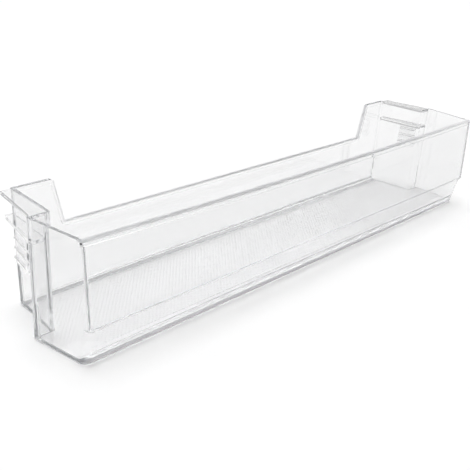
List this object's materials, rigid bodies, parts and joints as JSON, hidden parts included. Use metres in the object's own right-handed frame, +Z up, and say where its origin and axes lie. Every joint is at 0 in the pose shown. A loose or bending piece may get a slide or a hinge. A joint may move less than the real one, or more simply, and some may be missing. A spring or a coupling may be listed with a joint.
{
  "type": "fridge door shelf",
  "caption": "Long clear moulded door shelf with a bowed front panel, stepped ends, hanging flanges with ridged latch tongues, and a back wall cut low between raised ears.",
  "frame": {"origin": "middle of the flat underside, at the bottom centre of the bounding box", "axes": "+X along the shelf towards its right end seen from the front, +Y from the front panel towards the back wall and the door, +Z up"},
  "size_m": [0.4794, 0.0986, 0.085],
  "materials": {
    "clear_plastic": "clear gloss, fine anti-slip grain on the floor"
  },
  "bodies": {
    "root": {"door_shelf": "clear_plastic"}
  },
  "joints": []
}
